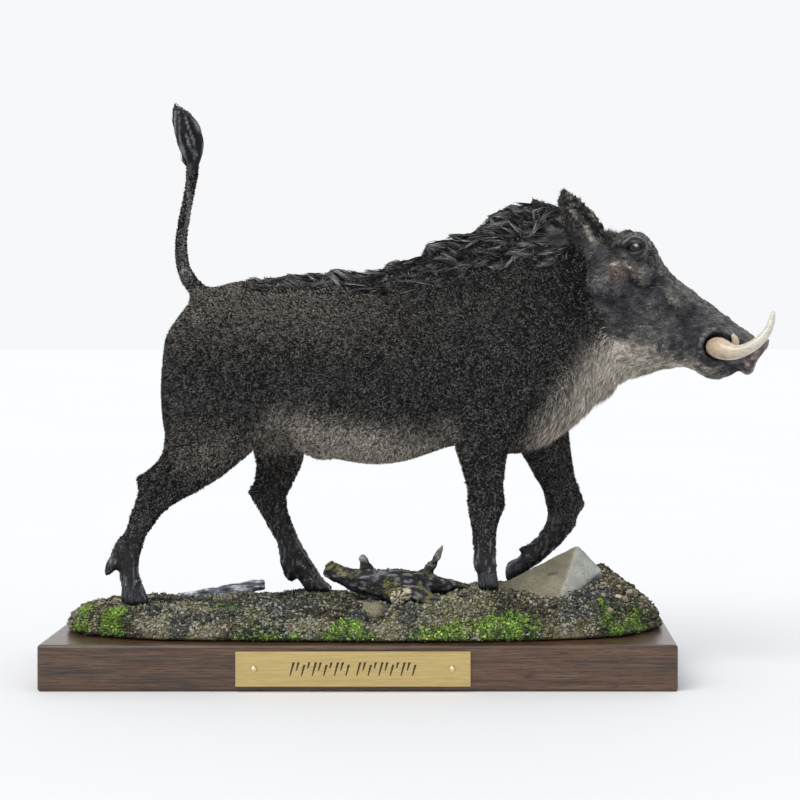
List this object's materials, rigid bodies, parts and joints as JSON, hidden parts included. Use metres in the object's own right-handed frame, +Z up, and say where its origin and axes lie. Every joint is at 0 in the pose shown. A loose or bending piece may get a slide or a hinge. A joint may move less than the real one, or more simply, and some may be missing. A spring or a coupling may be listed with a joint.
{
  "type": "warthog figurine on a plinth",
  "caption": "Striding warthog figure with raised tail, mane and curved tusks, on mossy ground with a stone and a fallen branch, on a wooden plinth with a brass nameplate.",
  "frame": {"origin": "the middle of the plinth's underside", "axes": "+X to the end that the animal faces, +Y away from the nameplate, +Z up"},
  "size_m": [0.2606, 0.094, 0.2057],
  "materials": {
    "plinth_wood": "dark walnut stain, satin, open streaky grain along its length",
    "nameplate_brass": "brushed along its length, engraved strokes filled dark",
    "pin_brass": "polished round heads",
    "groundwork_soil": "crumbly soil texture with patches of green moss",
    "stone": "matt, faceted and lightly mottled",
    "branch_bark": "dark cracked bark with a pale cut end",
    "stick_bark": "silvery grey bark",
    "warthog_hide": "cast resin with short flocked hair, bare grey face, glossy hooves and painted eyes",
    "tusk_ivory": "warm ivory roots fading to pale translucent tips"
  },
  "bodies": {
    "root": {"plinth": "plinth_wood", "nameplate": "nameplate_brass", "nameplate_pin_left": "pin_brass", "nameplate_pin_right": "pin_brass", "groundwork": "groundwork_soil", "stone": "stone", "fallen_branch": "branch_bark", "grey_stick": "stick_bark", "warthog": "warthog_hide", "upper_tusk_left": "tusk_ivory", "upper_tusk_right": "tusk_ivory", "lower_tusk_left": "tusk_ivory", "lower_tusk_right": "tusk_ivory"}
  },
  "joints": []
}
